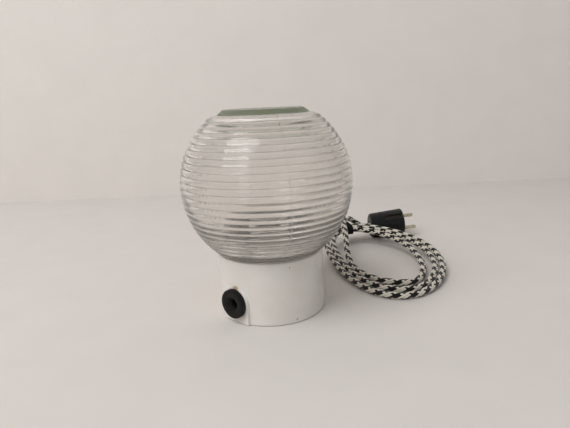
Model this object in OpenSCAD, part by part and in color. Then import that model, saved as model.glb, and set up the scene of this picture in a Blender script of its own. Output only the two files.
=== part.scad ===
// Table lamp: ribbed glass globe screwed into a round porcelain base,
// with a textile cord coiled beside it.
// Origin at the centre of the foot, +Z up, free cable entry at -Y, cord exit at +Y.

/* [Base] */
// Diameter of the porcelain base
base_d = 100; // [94:1:120]
// Height of the base up to its rim
base_h = 58.5; // [52:0.5:80]
// Rounding of the foot and rim edges
base_edge = 1.5; // [0.5:0.1:2.5]
// Wall round the wiring chamber
base_wall = 10; // [8:0.5:12]
// Width of the ring that the lamp stands on
foot_w = 8; // [5:0.5:12]
// Depth of the hollow under the base
foot_depth = 6; // [5:0.5:8]
// Thickness of the floor of the wiring chamber
floor_t = 7; // [5:0.5:9]
// Diameter of the wall screw holes in the floor
wall_hole_d = 5.5; // [4:0.1:6.5]
// Pitch circle of the wall screw holes
wall_hole_pcd = 62; // [58:0.5:68]

/* [Glass globe] */
// Diameter over the rib crests
globe_d = 158; // [140:1:190]
// Thickness of the glass
glass_t = 4.5; // [3:0.1:6]
// Latitude covered by one rib, in degrees
rib_pitch = 4.2; // [3.8:0.1:5]
// Depth of the valleys between the ribs
rib_depth = 0.8; // [0.5:0.1:1.2]
// Ribs below the equator
ribs_below = 11; // [8:1:11]
// Ribs above the equator
ribs_above = 12; // [8:1:12]
// Height of the plain lip under the ribs
lip_h = 2.5; // [1.5:0.1:4]
// Diameter of the top disc where it meets the ledge
disc_d = 84; // [70:1:90]
// Diameter of the flat on the top disc
disc_flat_d = 72; // [50:1:76]
// Height of the top disc above the ledge
disc_h = 4.7; // [3:0.1:7]
// Width of the base's rim outside the screwed neck
rim_w = 7.8; // [7:0.1:9]
// Wall of the neck
neck_t = 4.2; // [3:0.1:5]
// Length of the neck below the shoulder
neck_h = 17; // [12:0.5:18]
// Radial room between neck and collar
neck_room = 0.6; // [0.3:0.1:0.8]
// Room under the neck
neck_foot_room = 1.5; // [0.5:0.1:3]
// Thickness of the rubber seal under the globe
seal_t = 1; // [0.6:0.1:2]
// Set-back of the seal from the neck and from the base edge
seal_inset = 0.7; // [0.4:0.1:1]

/* [Cable entries] */
// Height of the entries above the foot
entry_z = 19; // [18:0.5:21]
// Diameter of the holes in the wall
entry_d = 20; // [16:0.5:20.5]
// Width of the flat pads around the entries
pad_w = 31; // [29:0.5:34]
// Wall left at the entries
entry_wall = 8.5; // [7.5:0.1:9]
// Diameter of the grommet flange
grommet_d = 27; // [24:0.5:28]
// Thickness of the grommet flange
grommet_t = 5; // [3:0.5:6]
// Rounding of the flange edge
grommet_edge = 1.2; // [0.5:0.1:1.4]
// Step of the inner lip over the wall hole
grommet_step = 0.8; // [0.5:0.1:1]
// Thickness of the inner lip
grommet_lip_t = 2.5; // [1.5:0.1:3]
// Diameter of the dish in the flange
dish_d = 13; // [11:0.5:16]
// Depth of the dish
dish_h = 4; // [2:0.5:7]
// Radial room of the rubber in its holes
grommet_room = 0.25; // [0.15:0.05:0.4]

/* [Lampholder] */
// Diameter of the porcelain lampholder
holder_d = 43; // [40:0.5:46]
// Height of the lampholder
holder_h = 47; // [44:0.5:55]
// Distance between the two fixing screws
holder_screw_c = 51.6; // [50:0.2:56]
// Width of the fixing ears
ear_w = 18; // [14:0.5:20]
// Thickness of the fixing ears
ear_t = 6; // [4:0.5:8]
// Height of the shell seat above the chamber floor
shell_seat = 19; // [18.5:0.5:21]
// Inner diameter of the screw shell
shell_id = 26.8; // [26.5:0.1:27.5]
// Thickness of the shell sheet
shell_t = 0.6; // [0.4:0.1:1]
// Height of the screw shell
shell_h = 22; // [18:0.5:24]
// Width of the ring at the foot of the shell
shell_ring = 5; // [3.8:0.1:5.4]
// Radial room round the shell
shell_room = 0.3; // [0.2:0.05:0.5]
// Depth of the slot for the contact leaf
leaf_slot = 2; // [1.5:0.1:2.5]
// Width of the contact leaf
leaf_w = 5; // [4:0.1:6]
// Thickness of the contact leaf
leaf_t = 0.6; // [0.4:0.1:1]
// Rise of the contact leaf at the centre
leaf_rise = 2.4; // [1.6:0.1:2.4]

/* [Terminals and wires] */
// Width, depth and height of a terminal block
block = 8; // [7.4:0.1:8.4]
// Distance of the block centres from the middle plane
block_x = 8; // [7.4:0.1:8.6]
// Distance of the block centres behind the axis
block_y = 9; // [8.6:0.1:9.4]
// Diameter of the posts on the blocks
post_d = 3; // [2.4:0.1:3.2]
// Diameter of the insulated wires
wire_d = 2.4; // [2:0.1:2.6]
// Distance of the wires from the middle plane at the cord end
wire_x = 1.6; // [1.5:0.05:1.8]
// Depth of the wire hole in a block
wire_hole = 6; // [4:0.5:7]
// Room round posts, wires, screws and blocks
fit_room = 0.15; // [0.1:0.05:0.25]

/* [Screws] */
// Diameter of the lampholder screws
screw_d = 4; // [3.5:0.1:4.4]
// Diameter of the lampholder screw heads
head_d = 7.5; // [6.5:0.1:8.2]
// Height of the lampholder screw heads
head_h = 2.6; // [2:0.1:3.5]
// Width of the nuts across their flats
nut_w = 7; // [6.5:0.1:8]
// Height of the nuts
nut_h = 3.2; // [2.4:0.1:4]
// Diameter of the clamp and terminal screws
small_d = 3; // [2.5:0.1:3.2]
// Diameter of their heads
small_head_d = 5.2; // [4.6:0.1:5.4]
// Height of their heads
small_head_h = 1.8; // [1.4:0.1:2.2]

/* [Cord clamp] */
// Distance of the clamp from the axis
clamp_y = 31; // [30:0.5:32.5]
// Width of the clamp along the cord
clamp_w = 5; // [4:0.5:6]
// Thickness of the clamp sheet
clamp_t = 1.2; // [0.8:0.1:1.6]
// Distance between the clamp screws
clamp_c = 15.6; // [15.2:0.2:16.4]
// Width of the pads under the clamp ears
clamp_pad_w = 5.4; // [5:0.1:6]

/* [Cord] */
// Diameter of the textile cord
cord_d = 7; // [6:0.1:7]
// Room between the cord and what it passes through
cord_room = 0.2; // [0.1:0.05:0.4]
// Length of cord inside the base, from the entry face
cord_in = 27.5; // [26:0.5:28.5]
// Loops in the coil
coil_turns = 3; // [3:1:3]
// Sheet thickness of the strap round the coil
tie_t = 1.6; // [1:0.1:2]
// Width of the strap
tie_w = 12; // [6:0.5:12]
// Room between the strap and the cord
tie_room = 0.5; // [0.4:0.05:0.8]
// Place of the strap along the strands, from the start of the coil
tie_at = -5; // [-6:0.5:-2]
// Length of the strap's free end
tie_end = 11; // [8:0.5:14]

/* [Plug] */
// Diameter at the pin face
plug_d = 38; // [37:0.5:38]
// Diameter at the cord end
plug_rear_d = 33; // [30:0.5:33]
// Length of the plug body
plug_l = 45; // [45:0.5:50]
// Thickness of the front that carries the pins
plug_front_t = 13; // [11:0.5:16]
// Rounding of the cord end
plug_edge = 3; // [1:0.5:4]
// Rounding of the pin face
plug_face_edge = 1; // [0.5:0.1:1.5]
// Thickness of the cord end of the cap
plug_back_t = 7; // [5:0.5:8]
// Width of the side grooves
groove_w = 5.5; // [4:0.1:6]
// Depth of the side grooves
groove_t = 3; // [2:0.1:3.2]
// Length of the side grooves
groove_l = 25; // [18:0.5:30]
// Diameter of the pins
pin_d = 4.8; // [4:0.1:5]
// Length of the pins in front of the face
pin_l = 19; // [17:0.5:22]
// Distance between the pins
pin_c = 19; // [17.5:0.1:19.5]
// Diameter of the pin shanks inside the front
pin_shank_d = 3.8; // [3.2:0.1:3.8]
// Diameter of the nuts behind the pins
pin_nut_d = 6.4; // [6:0.1:6.8]
// Thickness of the nuts behind the pins
pin_nut_t = 3; // [2:0.1:4]
// Room round the nuts in the hollow cap
pin_nut_room = 0.5; // [0.3:0.1:0.7]
// Depth of the post in the cap for the plug screw
cap_post_l = 9; // [7:0.5:11]

/* [Hidden] */
$fn = 96;
e = 0.01;

// Levels and radii of the base
base_r = base_d / 2;
floor_z = foot_depth + floor_t;
chamber_r = base_r - base_wall;
neck_d = base_d - 2 * rim_w;
neck_r = neck_d / 2;
collar_r = neck_r + neck_room;
collar_z = base_h + seal_t - neck_h - neck_foot_room;

// Levels of the globe
globe_r = globe_d / 2;
shoulder_z = base_h + seal_t;
globe_z = shoulder_z + sqrt(globe_r * globe_r - base_r * base_r);
valley_r = globe_r - rib_depth;
rib_top = (ribs_above + 0.5) * rib_pitch;
ledge_z = globe_z + valley_r * sin(rib_top) + rib_depth;
inner_r = globe_r - glass_t;
// A rib is an arc through two valleys and a crest
rib_half = valley_r * sin(rib_pitch / 2);
rib_sag = globe_r - valley_r * cos(rib_pitch / 2);
rib_r = (rib_half * rib_half + rib_sag * rib_sag) / (2 * rib_sag);

// Places in the cable entries
wall_in_y = base_r - entry_wall;
entry_face_y = base_r + grommet_t;
grommet_lip_d = entry_d + 2 * grommet_step;
cord_hole_r = cord_d / 2 + cord_room;

// Places in the lampholder
holder_r = holder_d / 2;
holder_top = floor_z + holder_h;
screw_x = holder_screw_c / 2;
shell_z = floor_z + shell_seat;
shell_r = shell_id / 2 + shell_t;
slot_z = shell_z - leaf_slot;
post_a = atan2(block_y, block_x);
post_reach = norm([block_x, block_y]) + post_d / 2;
block_top = entry_z + block / 2;
wire_end_y = block_y + block / 2 - wire_hole + fit_room;
cord_end_y = entry_face_y - cord_in;

// Places round the cord clamp
clamp_r = cord_d / 2 + fit_room;
clamp_pad_z = entry_z - clamp_t;
clamp_x = clamp_c / 2;

// The coil: oval loops, raised where the strap holds them; the last one cuts across to the plug
coil_c = [36, 159.4];
coil_heading = 49;
// Half length and half width of the first loop, the bow of its ends, and how much of it the near end loses
coil_l = 100;
coil_w = 59.2;
coil_bow = 16.6;
coil_fade = 1.32;
// How far each loop lies inside the first on the far side, on the near side and at the near end
coil_far_in = [0, 8.4, 23.2];
coil_near_in = [0, 7.8, 15.4];
coil_end_in = [0, 14, 31.2];
// Step from strand to strand at the strap, and how many steps the last strand goes back, over which loops
coil_lane = 8.1;
coil_over = 1.9;
coil_back = 0.5;
coil_back_for = 0.45;
// How far the near side swells before the strap, and how far inside it the last loop cuts across
coil_left = 7.5;
coil_short = 9.5;
// Rise of the strands at the strap, and of the last one over the others
coil_lift = 17.5;
coil_stack = 11.6;
// Loops before the end where the last one starts to climb, and how many loops it climbs for
coil_cut = 0.3;
coil_climb = 0.2;
// Points in a loop, and how many of them the last loop lacks
coil_rings = 24;
coil_rest = 2;

function clamp01(u) = min(1, max(0, u));
function ease(u) = let (v = clamp01(u)) v * v * (3 - 2 * v);
function unit(v) = v / norm(v);

// Value for each loop after t loops, which changes in the second half of a loop
function by_loop(values, t) =
    let (
        n = min(max(floor(t), 0), coil_turns - 1),
        next = min(n + 1, coil_turns - 1)
    )
    values[n] + (values[next] - values[n]) * ease((t - n - 0.5) / 0.5);

// Point of the coil after t loops; the end of the last loop climbs over the others
function coil_point(t) =
    let (
        a = 360 * t,
        near = (1 - cos(a)) / 2,
        far = 1 - near,
        side = sin(a),
        cut = ease((t - coil_turns + coil_cut) / coil_climb),
        swell = coil_left * far * far * (1 - cut) - coil_short * cut,
        in = side > 0 ? by_loop(coil_far_in, t) : by_loop(coil_near_in, t - 0.5) - swell,
        bow = coil_bow * pow(cos(a), 2) * (1 - coil_fade * near * t / coil_turns),
        lane = coil_lane * (t - coil_over * ease((t - coil_turns + coil_back) / coil_back_for)),
        x = (coil_w - in) * side - bow,
        y = (coil_l - near * by_loop(coil_end_in, t - 0.25) - far * lane) * cos(a),
        z = cord_d / 2 + coil_lift * (side > 0 ? far : far * far) + coil_stack * cut
    )
    [
        coil_c.x + x * cos(coil_heading) - y * sin(coil_heading),
        coil_c.y + x * sin(coil_heading) + y * cos(coil_heading),
        z
    ];

coil_last_ring = coil_turns * coil_rings - coil_rest;
coil_route = [for (i = [0:coil_last_ring]) coil_point(i / coil_rings)];
coil_start = coil_route[0];
coil_end = coil_route[coil_last_ring];
coil_start_way = unit(coil_route[1] - coil_start);
coil_end_way = unit(coil_end - coil_route[coil_last_ring - 1]);

// Place and direction of the plug: centre of its pin face, heading, rise and roll of the pin line
plug_face = [-3, 276.5, plug_d / 2 + 0.1];
plug_heading = 44.4;
plug_rise = asin((plug_d - plug_rear_d) / 2 / plug_l);
plug_roll = 136;
plug_way = [cos(plug_rise) * cos(plug_heading), cos(plug_rise) * sin(plug_heading), sin(plug_rise)];
function plug_point(back) = plug_face - back * plug_way;
function plug_r(back) = plug_d / 2 - (plug_d - plug_rear_d) / 2 * back / plug_l;

// Routes of the cord on either side of the coil
lead_route = [
    [0, entry_face_y, entry_z], [0, entry_face_y + cord_d, entry_z],
    [-3, 75, 16], [-11, 89, 10], [-22, 102, 5], [-35, 114, 3.6], [-49, 126, 3.6], [-62, 139, 3.6],
    [-73, 153, 4], [-80.5, 167, 6.5], [-81.5, 181, 11], [-76, 193, 15.5], [-66.5, 201.5, 19.3],
    coil_start - cord_d * coil_start_way, coil_start
];
tail_route = [
    coil_end, coil_end + cord_d * coil_end_way,
    [-49, 205, 32.6], [-49.8, 211.5, 32.2], [-49.2, 218, 29.8], [-47.4, 225.5, 24.8], [-44.3, 233, 19.2],
    plug_point(plug_l + cord_d), plug_point(plug_l - plug_back_t)
];

// Tube swept along a route, with flat ends
module tube(route, d, sides) {
    last = len(route) - 1;
    ring = [for (j = [0:sides - 1]) 360 * (j + 0.5) / sides];
    points = [
        for (i = [0:last])
            let (
                way = unit(route[min(i + 1, last)] - route[max(i - 1, 0)]),
                right = unit(cross(way, [0, 0, 1])),
                up = cross(right, way)
            )
            for (a = ring) route[i] + d / 2 * (cos(a) * right + sin(a) * up)
    ];
    walls = [
        for (i = [0:last - 1], j = [0:sides - 1])
            let (
                k = (j + 1) % sides,
                a = i * sides,
                b = a + sides
            )
            each [[a + j, a + k, b + k], [a + j, b + k, b + j]]
    ];
    ends = [
        for (j = [1:sides - 2])
            let (b = last * sides)
            each [[0, j + 1, j], [b, b + j, b + j + 1]]
    ];
    polyhedron(points, concat(walls, ends));
}

// Half profile of a round block with eased outer edges
module disc_profile(r, z0, z1, edge) {
    translate([0, z0 + edge]) square([r, z1 - z0 - 2 * edge]);
    translate([0, z0]) square([r - edge, z1 - z0]);
    translate([r - edge, z0 + edge]) circle(edge);
    translate([r - edge, z1 - edge]) circle(edge);
}

// Cylinder along +Y between two distances from the axis
module rod_y(r, y0, y1, z) {
    translate([0, y0, z]) rotate([-90, 0, 0]) cylinder(r = r, h = y1 - y0);
}

// Children on both sides of the middle plane
module pair_x(x) {
    for (s = [-1, 1]) translate([s * x, 0, 0]) children();
}

module porcelain_base() {
    color("ivory") difference() {
        union() {
            rotate_extrude() disc_profile(base_r, 0, base_h, base_edge);
            for (s = [0, 180]) rotate([0, 0, s]) entry_pad();
        }
        translate([0, 0, -e]) cylinder(r = base_r - foot_w, h = foot_depth + e);
        difference() {
            translate([0, 0, floor_z]) cylinder(r = chamber_r, h = base_h);
            clamp_pads();
        }
        translate([0, 0, collar_z]) cylinder(r = collar_r, h = base_h);
        for (s = [0, 180]) rotate([0, 0, s]) {
            rod_y(entry_d / 2, chamber_r - base_wall, entry_face_y, entry_z);
            rod_y(grommet_lip_d / 2 + grommet_room, wall_in_y - grommet_lip_t - 1, wall_in_y, entry_z);
        }
        for (s = [45, 225]) rotate([0, 0, s]) translate([wall_hole_pcd / 2, 0, 0])
            cylinder(d = wall_hole_d, h = floor_z + e);
        pair_x(screw_x) cylinder(d = screw_d + 2 * fit_room, h = floor_z + e);
        pair_x(clamp_x) translate([0, clamp_y, floor_z - 2])
            cylinder(d = small_d + 2 * fit_room, h = entry_z);
    }
}

// Flat pad with an arched top around a cable entry
module entry_pad() {
    translate([0, base_r, 0]) rotate([90, 0, 0]) linear_extrude(base_wall) {
        translate([0, entry_z]) circle(d = pad_w);
        translate([-pad_w / 2, 0]) square([pad_w, entry_z]);
    }
}

// Ledges in the chamber: two under the clamp ears and one under the cord
module clamp_pads() {
    for (s = [-1, 1])
        translate([s * clamp_x - clamp_pad_w / 2, clamp_y - clamp_w / 2, 0])
            cube([clamp_pad_w, clamp_w, clamp_pad_z]);
    translate([-cord_d / 4, clamp_y - clamp_w / 2, 0])
        cube([cord_d / 2, clamp_w, entry_z - cord_d / 2]);
}

module lampholder_body() {
    slot_l = post_reach + 1;
    color("white") difference() {
        union() {
            translate([0, 0, floor_z]) rotate_extrude() disc_profile(holder_r, 0, holder_h, 1);
            translate([0, 0, floor_z]) linear_extrude(ear_t) holder_ears();
        }
        translate([0, 0, shell_z]) cylinder(r = shell_r + shell_room, h = holder_h);
        rotate([0, 0, post_a]) translate([-leaf_w, -leaf_w / 2 - fit_room, slot_z])
            cube([slot_l + leaf_w, leaf_w + 2 * fit_room, leaf_slot + e]);
        pair_x(screw_x) cylinder(d = screw_d + 2 * fit_room, h = holder_top);
        for (s = [0, 1]) mirror([s, 0, 0]) terminal_recess();
        translate([block_x, block_y, entry_z]) cylinder(d = post_d + 2 * fit_room, h = slot_z - entry_z + e);
        translate([-block_x, block_y, entry_z])
            cylinder(d = post_d + 2 * fit_room, h = shell_z - entry_z + e);
    }
}

// Outline of the two fixing ears
module holder_ears() {
    pair_x(screw_x) circle(d = ear_w / 2);
    square([holder_screw_c, ear_w / 2], center = true);
    square([holder_d - 4, ear_w], center = true);
}

// Recess for one terminal, open to the side and to the rear, with room for its wire
module terminal_recess() {
    side = block / 2 + fit_room;
    translate([block_x - side, block_y - side, entry_z - side])
        cube([holder_d, holder_d, 2 * side]);
    translate([-e, block_y + side, entry_z - side])
        cube([holder_d, holder_d, 2 * side]);
}

module screw_shell() {
    color("gold") translate([0, 0, shell_z]) difference() {
        cylinder(r = shell_r, h = shell_h);
        translate([0, 0, shell_t]) cylinder(r = shell_id / 2, h = shell_h);
        translate([0, 0, -e]) cylinder(r = shell_r - shell_ring, h = shell_h);
    }
}

// Springy leaf from the live post to the centre of the socket
module centre_contact() {
    foot = block_x;
    outline = [
        [post_reach, 0], [foot, 0], [leaf_w / 2, leaf_rise - leaf_t], [-leaf_w / 2, leaf_rise - leaf_t],
        [-leaf_w / 2, leaf_rise], [leaf_w / 2, leaf_rise], [foot, leaf_t], [post_reach, leaf_t]
    ];
    color("peru") translate([0, 0, slot_z]) rotate([0, 0, post_a]) rotate([90, 0, 0])
        translate([0, 0, -leaf_w / 2]) linear_extrude(leaf_w) polygon(outline);
}

// Block with a wire hole, a screw hole from the side and a post up to its contact
module terminal(side, post_top) {
    color("goldenrod") difference() {
        union() {
            translate([side * block_x, block_y, entry_z]) cube(block, center = true);
            translate([side * block_x, block_y, entry_z]) cylinder(d = post_d, h = post_top - entry_z);
        }
        translate([side * block_x, 0, 0])
            rod_y(wire_d / 2 + fit_room, block_y + block / 2 - wire_hole, holder_d, entry_z);
        translate([side * block_x, block_y, entry_z]) rotate([0, side * 90, 0])
            cylinder(d = small_d + 2 * fit_room, h = block);
    }
}

module live_terminal() {
    terminal(1, slot_z);
}

module neutral_terminal() {
    terminal(-1, shell_z);
}

// Round-headed screw along -Z, head resting at its origin
module small_screw(l) {
    translate([0, 0, -l]) cylinder(d = small_d, h = l);
    difference() {
        cylinder(d = small_head_d, h = small_head_h);
        translate([-small_head_d, -0.4, small_head_h / 2]) cube([2 * small_head_d, 0.8, small_head_h]);
    }
}

module terminal_screws() {
    grip = block / 2 - wire_d / 2 - 2 * fit_room;
    color("silver") for (s = [-1, 1])
        translate([s * (block_x + block / 2), block_y, entry_z]) rotate([0, s * 90, 0]) small_screw(grip);
}

// Wire from the cord end to its terminal
module wire(side) {
    x1 = side * wire_x;
    x2 = side * block_x;
    y1 = cord_end_y;
    y2 = block_y + block / 2;
    mid = (y1 + y2) / 2;
    route = [
        [x1, y1, entry_z], [x1, y1 - wire_d, entry_z],
        for (u = [0.2:0.2:0.8])
            [x1 + (x2 - x1) * ease(u), y1 - wire_d - (y1 - y2 - 2 * wire_d) * u, entry_z],
        [x2, y2 + wire_d, entry_z], [x2, mid - (mid - wire_end_y) / 2, entry_z], [x2, wire_end_y, entry_z]
    ];
    tube(route, wire_d, 8);
}

module live_wire() {
    color("saddlebrown") wire(1);
}

module neutral_wire() {
    color("steelblue") wire(-1);
}

module lampholder_screws() {
    ear_top = floor_z + ear_t;
    shank = ear_top - foot_depth + nut_h;
    color("silver") pair_x(screw_x) difference() {
        union() {
            translate([0, 0, ear_top - shank]) cylinder(d = screw_d, h = shank);
            translate([0, 0, ear_top]) cylinder(d = head_d, h = head_h);
        }
        translate([-head_d, -0.6, ear_top + head_h / 2]) cube([2 * head_d, 1.2, head_h]);
    }
}

module lampholder_nuts() {
    color("silver") pair_x(screw_x) translate([0, 0, foot_depth - nut_h]) difference() {
        cylinder(d = nut_w / cos(30), h = nut_h, $fn = 6);
        translate([0, 0, -e]) cylinder(d = screw_d + 2 * fit_room, h = nut_h + 1);
    }
}

// Saddle of sheet metal over the cord
module cord_clamp() {
    ear_end = clamp_x + clamp_pad_w / 2;
    color("gainsboro") difference() {
        translate([0, clamp_y + clamp_w / 2, entry_z]) rotate([90, 0, 0]) linear_extrude(clamp_w) {
            difference() {
                union() {
                    circle(clamp_r + clamp_t);
                    translate([-ear_end, -clamp_t]) square([2 * ear_end, clamp_t]);
                }
                circle(clamp_r);
                translate([-ear_end, -clamp_t - cord_d]) square([2 * ear_end, cord_d]);
            }
        }
        pair_x(clamp_x) translate([0, clamp_y, floor_z]) cylinder(d = small_d + 2 * fit_room, h = entry_z);
    }
}

module clamp_screws() {
    color("silver") pair_x(clamp_x) translate([0, clamp_y, entry_z])
        small_screw(clamp_pad_z + clamp_t - floor_z + 1);
}

module cord_in_base() {
    color("dimgray") rod_y(cord_d / 2, cord_end_y, entry_face_y, entry_z);
}

// Rubber grommet held by its flange and its inner lip
module grommet() {
    neck = entry_d / 2 - grommet_room;
    translate([0, base_r, entry_z]) rotate([-90, 0, 0]) rotate_extrude() difference() {
        union() {
            disc_profile(grommet_d / 2, 0, grommet_t, grommet_edge);
            translate([0, -entry_wall]) square([neck, entry_wall + e]);
            translate([0, -entry_wall - grommet_lip_t]) square([grommet_lip_d / 2, grommet_lip_t]);
        }
        translate([0, -entry_wall - grommet_lip_t - 1])
            square([cord_hole_r, entry_wall + grommet_lip_t + grommet_t + 2]);
        polygon([[0, grommet_t - dish_h], [cord_hole_r, grommet_t - dish_h], [dish_d / 2, grommet_t],
            [dish_d / 2, grommet_t + 1], [0, grommet_t + 1]]);
    }
}

module front_grommet() {
    color("#2a2320") rotate([0, 0, 180]) grommet();
}

module rear_grommet() {
    color("#2a2320") grommet();
}

module seal_ring() {
    color("#3a3a38") translate([0, 0, base_h]) difference() {
        cylinder(r = base_r - seal_inset, h = seal_t);
        translate([0, 0, -e]) cylinder(r = neck_r + seal_inset, h = seal_t + 1);
    }
}

module glass_globe() {
    color("lightcyan", 0.5) rotate_extrude($fn = 128) intersection() {
        difference() {
            union() {
                intersection() {
                    translate([0, globe_z]) globe_outline();
                    translate([0, shoulder_z]) square([globe_r + 1, ledge_z - shoulder_z]);
                }
                translate([0, shoulder_z]) square([base_r, lip_h]);
                translate([0, shoulder_z - neck_h]) square([neck_r, neck_h + glass_t]);
                top_disc();
            }
            globe_inside();
        }
        square([globe_r + 1, ledge_z + disc_h + 1]);
    }
}

// Ball with a stack of rounded ribs
module globe_outline() {
    circle(valley_r - rib_depth);
    for (k = [-ribs_below:ribs_above])
        rotate(k * rib_pitch) translate([globe_r - rib_r, 0]) circle(rib_r);
}

// Thick disc on the ledge, with a sloping side
module top_disc() {
    polygon([
        [0, ledge_z - e], [disc_d / 2, ledge_z - e],
        [disc_flat_d / 2, ledge_z + disc_h], [0, ledge_z + disc_h]
    ]);
}

// Hollow of the ball and the bore of the neck
module globe_inside() {
    low = shoulder_z + glass_t;
    intersection() {
        translate([0, globe_z]) circle(inner_r);
        translate([-e, low]) square([globe_r, ledge_z - glass_t - low]);
    }
    translate([-e, shoulder_z - neck_h - 1]) square([neck_r - neck_t, neck_h + glass_t + 2]);
}

module cord_lead() {
    color("dimgray") tube(lead_route, cord_d, 10);
}

// Least gap between loops, measured on points along the chords of the route
function coil_gap(fine = 5) =
    let (
        n = len(coil_route) - 1,
        way = [for (i = [0:n - 1], j = [0:fine - 1])
            coil_route[i] + (coil_route[i + 1] - coil_route[i]) * j / fine],
        apart = coil_rings * fine / 2
    )
    min([for (i = [0:len(way) - apart - 1], j = [i + apart:len(way) - 1]) norm(way[i] - way[j])]) - cord_d;

module cord_coil() {
    echo(coil_least_gap = coil_gap());
    color("dimgray") tube(coil_route, cord_d, 6);
}

module cord_tail() {
    color("dimgray") tube(tail_route, cord_d, 10);
}

// Point where the strand that begins loop t crosses a plane square to the strap's way
function strand_at(t, along, way) =
    let (
        route = concat([for (i = [0:len(lead_route) - 2]) lead_route[i]], coil_route),
        i = len(lead_route) - 1 + t * coil_rings,
        reach = [for (p = route) (p - coil_start) * way]
    )
    [
        for (j = [i - 3:i + 2])
            if (reach[j] <= along && along < reach[j + 1])
                route[j] + (route[j + 1] - route[j]) * (along - reach[j]) / (reach[j + 1] - reach[j])
    ][0];

// Strap round the strands, with its free end hanging behind them
module cord_tie() {
    way = [cos(coil_heading), sin(coil_heading), 0];
    across = cross(way, [0, 0, 1]);
    // Each strand where it meets the middle and both edges of the strap
    strands = [
        for (t = [0:coil_turns - 1], edge = [-1, 0, 1])
            let (p = strand_at(t, tie_at + edge * tie_w / 2, way))
            [(p - coil_start) * across, p.z]
    ];
    inner = cord_d / 2 + tie_room;
    far = min([for (s = strands) s.x]);
    high = max([for (s = strands) s.y]);
    color("#1c1c1c") translate([coil_start.x, coil_start.y, 0] + tie_at * way)
        rotate([0, 0, atan2(across.y, across.x)]) rotate([90, 0, 0])
        translate([0, 0, -tie_w / 2]) linear_extrude(tie_w) {
            difference() {
                strap_outline(strands, inner + tie_t);
                strap_outline(strands, inner);
            }
            translate([far - inner - tie_t, high - tie_end]) square([tie_t, tie_end]);
        }
}

module strap_outline(strands, r) {
    hull() for (s = strands) translate(s) circle(r, $fn = 32);
}

// Children in the plug's own frame: +Z along the pins, origin in the pin face
module in_plug() {
    translate(plug_face) rotate([0, 90 - plug_rise, plug_heading]) rotate([0, 0, plug_roll]) children();
}

// Grooves down both sides of the plug
module plug_grooves() {
    for (s = [0, 180]) rotate([0, 0, s])
        translate([-groove_w / 2, plug_d / 2 - groove_t, -groove_l])
            cube([groove_w, plug_d, groove_l + plug_d]);
}

// Slice of the tapered plug body between two distances behind the face
module plug_slice(from, to, edge_front, edge_back) {
    rotate_extrude() {
        polygon([
            [0, -from], [plug_r(from) - edge_front, -from], [plug_r(from), -from - edge_front],
            [plug_r(to), -to + edge_back], [plug_r(to) - edge_back * 0.3, -to + edge_back * 0.3],
            [plug_r(to) - edge_back, -to], [0, -to]
        ]);
    }
}

module plug_front() {
    color("#151515") in_plug() difference() {
        plug_slice(0, plug_front_t, plug_face_edge, 0);
        plug_grooves();
        for (s = [-1, 1]) translate([s * pin_c / 2, 0, -plug_front_t - e])
            cylinder(d = pin_shank_d + 2 * fit_room, h = plug_front_t + 1);
        translate([0, 0, -plug_front_t - e]) cylinder(d = small_d + 2 * fit_room, h = plug_front_t + 1);
        translate([0, 0, -small_head_h - 0.5]) cylinder(d = small_head_d + 2 * fit_room, h = plug_d);
    }
}

module plug_cap() {
    deep = plug_l - plug_back_t;
    hollow_r = (pin_c + pin_nut_d) / 2 + pin_nut_room;
    color("#151515") in_plug() difference() {
        plug_slice(plug_front_t, plug_l, 0, plug_edge);
        plug_grooves();
        difference() {
            translate([0, 0, -deep]) cylinder(r = hollow_r, h = deep - plug_front_t + e);
            plug_cap_post();
        }
        translate([0, 0, -plug_l - e]) cylinder(r = cord_hole_r, h = plug_back_t + 1);
        translate([0, 0, -plug_front_t - cap_post_l])
            cylinder(d = small_d + 2 * fit_room, h = cap_post_l + 1);
    }
}

// Bar across the cap that takes the plug screw
module plug_cap_post() {
    translate([-small_head_d / 2, -plug_rear_d / 2, -plug_front_t - cap_post_l - 1])
        cube([small_head_d, plug_rear_d, cap_post_l + 1 + e]);
}

// Round pins with domed tips, each on a thinner shank with a nut behind the front
module plug_pins() {
    color("tan") in_plug() for (s = [-1, 1]) translate([s * pin_c / 2, 0, 0]) {
        translate([0, 0, -plug_front_t - pin_nut_t])
            cylinder(d = pin_shank_d, h = plug_front_t + pin_nut_t + 1);
        cylinder(d = pin_d, h = pin_l - pin_d / 2);
        translate([0, 0, pin_l - pin_d / 2]) sphere(d = pin_d);
        translate([0, 0, -plug_front_t - pin_nut_t]) cylinder(d = pin_nut_d, h = pin_nut_t, $fn = 6);
    }
}

module plug_screw() {
    color("silver") in_plug() translate([0, 0, -small_head_h - 0.5])
        small_screw(plug_front_t + cap_post_l - small_head_h - 1);
}

porcelain_base();
lampholder_body();
screw_shell();
centre_contact();
live_terminal();
neutral_terminal();
terminal_screws();
live_wire();
neutral_wire();
lampholder_screws();
lampholder_nuts();
cord_clamp();
clamp_screws();
cord_in_base();
front_grommet();
rear_grommet();
seal_ring();
glass_globe();
cord_lead();
cord_coil();
cord_tail();
cord_tie();
plug_front();
plug_cap();
plug_pins();
plug_screw();
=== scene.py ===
# Table lamp: ribbed pressed-glass globe on a porcelain base, its braided cord coiled beside it
import math

import bmesh
import bpy
from mathutils import Matrix, Vector, noise


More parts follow.
